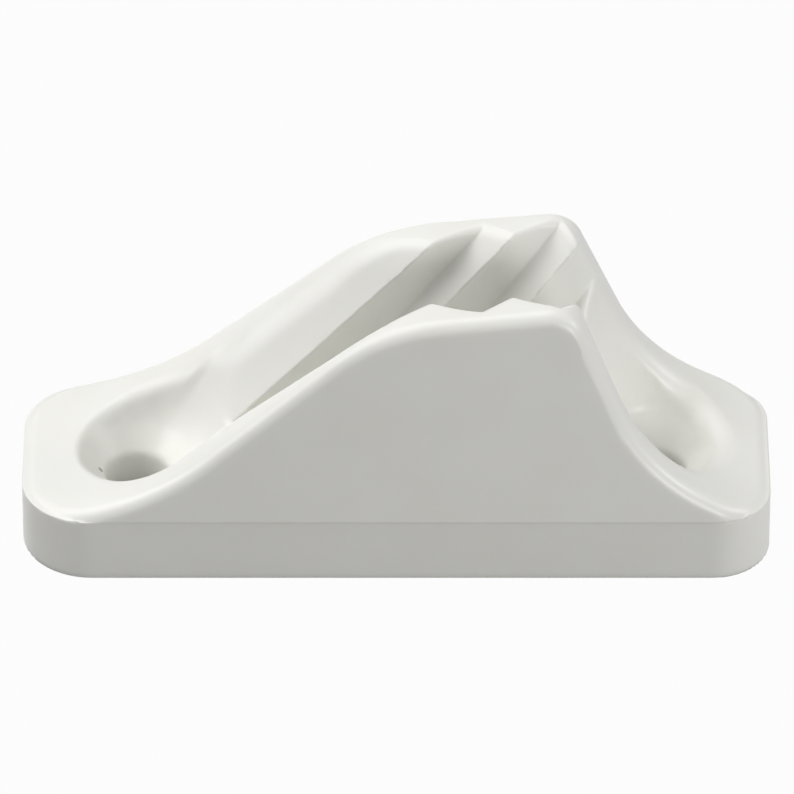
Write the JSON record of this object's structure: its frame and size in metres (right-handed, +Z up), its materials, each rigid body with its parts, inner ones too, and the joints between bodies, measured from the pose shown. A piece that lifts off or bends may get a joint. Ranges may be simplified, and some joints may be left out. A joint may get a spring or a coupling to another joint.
{
  "type": "jam cleat",
  "caption": "One-piece moulded jam cleat: a ribbed V groove grips a rope between two screw-down ends.",
  "frame": {"origin": "centre of the base, in the plane that the cleat is screwed down on", "axes": "+X along the cleat from the loaded end with the long lead-in ramp to the tail end, +Y across its width, +Z up out of the deck"},
  "size_m": [0.075, 0.0238, 0.0304],
  "materials": {
    "nylon": "satin white moulded nylon"
  },
  "bodies": {
    "root": {"cleat": "nylon"}
  },
  "joints": []
}
